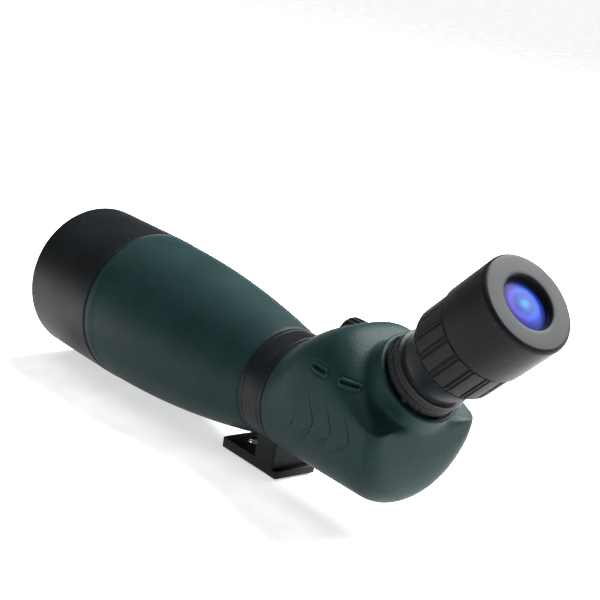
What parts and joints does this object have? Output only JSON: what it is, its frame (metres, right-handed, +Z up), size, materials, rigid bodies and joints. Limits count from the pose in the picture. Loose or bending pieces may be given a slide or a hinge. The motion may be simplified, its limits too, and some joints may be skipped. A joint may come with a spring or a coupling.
{
  "type": "spotting scope",
  "caption": "Angled spotting scope: rubber-armoured pear-shaped barrel with sliding sunshade, prism housing, focusing knob, zoom eyepiece with twist-up eyecup, and a collar with a tripod foot.",
  "frame": {"origin": "middle of the tripod foot's underside, where the foot meets a tripod head", "axes": "+Y along the barrel towards the objective, +X to the user's right, +Z up; the eyepiece rises backwards at 45 degrees in the plane X = 0"},
  "size_m": [0.086, 0.346, 0.1504],
  "materials": {
    "green_rubber": "matt, soft-touch",
    "satin_black": "satin",
    "anodised_black": "black anodised",
    "black_rubber": "matt",
    "shell_plastic": "moulded",
    "baffle_black": "dead matt",
    "bare_aluminium": "turned",
    "bright_steel": "turned",
    "brass": "turned",
    "lens_glass": "coated, polished",
    "prism_glass": "polished"
  },
  "bodies": {
    "scope": {"barrel_armour": "green_rubber", "barrel_tube": "shell_plastic", "baffle_front": "baffle_black", "baffle_rear": "baffle_black", "collar_foot": "satin_black", "foot_insert": "bright_steel", "objective_cell": "anodised_black", "objective_front_lens": "lens_glass", "objective_rear_lens": "lens_glass", "lens_spacer": "anodised_black", "objective_retainer": "anodised_black", "objective_seal": "black_rubber", "housing_armour": "green_rubber", "housing_shell": "shell_plastic", "housing_bulkhead": "bare_aluminium", "guide_rod_left": "bright_steel", "guide_rod_right": "bright_steel", "focus_bush": "brass", "eyepiece_flange": "anodised_black", "flange_screw_1": "bright_steel", "flange_screw_2": "bright_steel", "flange_screw_3": "bright_steel", "eyepiece_barrel": "anodised_black", "field_stop": "baffle_black", "zoom_guide_tube": "bare_aluminium", "eyepiece_top": "anodised_black", "eye_lens_cell": "anodised_black", "eye_lens_inner": "lens_glass", "eye_lens": "lens_glass", "eye_lens_retainer": "baffle_black"},
    "sunshade": {"sunshade": "satin_black", "sunshade_guide_ring": "black_rubber"},
    "focus_knob": {"knob_core": "anodised_black", "knob_grip": "black_rubber", "knob_cap": "satin_black", "focus_screw": "bright_steel", "focus_clip": "bright_steel"},
    "focus_carriage": {"prism_cage": "shell_plastic", "focus_nut": "brass", "half_penta_prism": "prism_glass", "roof_prism": "prism_glass", "prism_clamp": "bright_steel", "clamp_screw_left": "bright_steel", "clamp_screw_right": "bright_steel"},
    "zoom_ring": {"zoom_ring_core": "anodised_black", "zoom_grip": "black_rubber", "cam_sleeve": "bare_aluminium"},
    "zoom_front_group": {"zoom_front_cell": "anodised_black", "zoom_front_lens": "lens_glass", "zoom_front_pin": "bright_steel"},
    "zoom_rear_group": {"zoom_rear_cell": "anodised_black", "zoom_rear_lens": "lens_glass", "zoom_rear_pin": "bright_steel"},
    "eyecup_turn": {"eyecup_helix_ring": "anodised_black"},
    "eyecup": {"eyecup_sleeve": "shell_plastic", "eyecup_cover": "black_rubber"},
    "eyepiece_lock": {"lock_ring": "anodised_black"}
  },
  "joints": [
    {"name": "sunshade_slide", "type": "slide", "parent": "scope", "child": "sunshade", "axis": [0, 1, 0], "range_m": [0, 0.033]},
    {"name": "focus_turn", "type": "hinge", "parent": "scope", "child": "focus_knob", "pos_m": [0.0205, -0.0605, 0.07498], "axis": [0, 1, 0], "range_deg": [-720, 720]},
    {"name": "focus_travel", "type": "slide", "parent": "scope", "child": "focus_carriage", "axis": [0, 1, 0], "range_m": [-0.004, 0.004]},
    {"name": "zoom_turn", "type": "hinge", "parent": "scope", "child": "zoom_ring", "pos_m": [0, -0.0605, 0.044], "axis": [0, -0.7071, 0.7071], "range_deg": [0, 100]},
    {"name": "zoom_front_travel", "type": "slide", "parent": "scope", "child": "zoom_front_group", "axis": [0, -0.7071, 0.7071], "range_m": [-0.006, 0]},
    {"name": "zoom_rear_travel", "type": "slide", "parent": "scope", "child": "zoom_rear_group", "axis": [0, -0.7071, 0.7071], "range_m": [0, 0.005]},
    {"name": "eyecup_twist", "type": "hinge", "parent": "scope", "child": "eyecup_turn", "pos_m": [0, -0.0605, 0.044], "axis": [0, -0.7071, 0.7071], "range_deg": [0, 60]},
    {"name": "eyecup_rise", "type": "slide", "parent": "eyecup_turn", "child": "eyecup", "axis": [0, -0.7071, 0.7071], "range_m": [0, 0.008]},
    {"name": "lock_turn", "type": "hinge", "parent": "scope", "child": "eyepiece_lock", "pos_m": [0, -0.0605, 0.044], "axis": [0, -0.7071, 0.7071], "range_deg": [0, 40]}
  ],
  "couplings": [
    {"joint": "focus_turn", "follows": "focus_travel", "rad_per_m": 3141.6},
    {"joint": "zoom_front_travel", "follows": "zoom_turn", "m_per_rad": -0.0034377},
    {"joint": "zoom_rear_travel", "follows": "zoom_turn", "m_per_rad": 0.0028648},
    {"joint": "eyecup_rise", "follows": "eyecup_twist", "m_per_rad": 0.0076394}
  ]
}
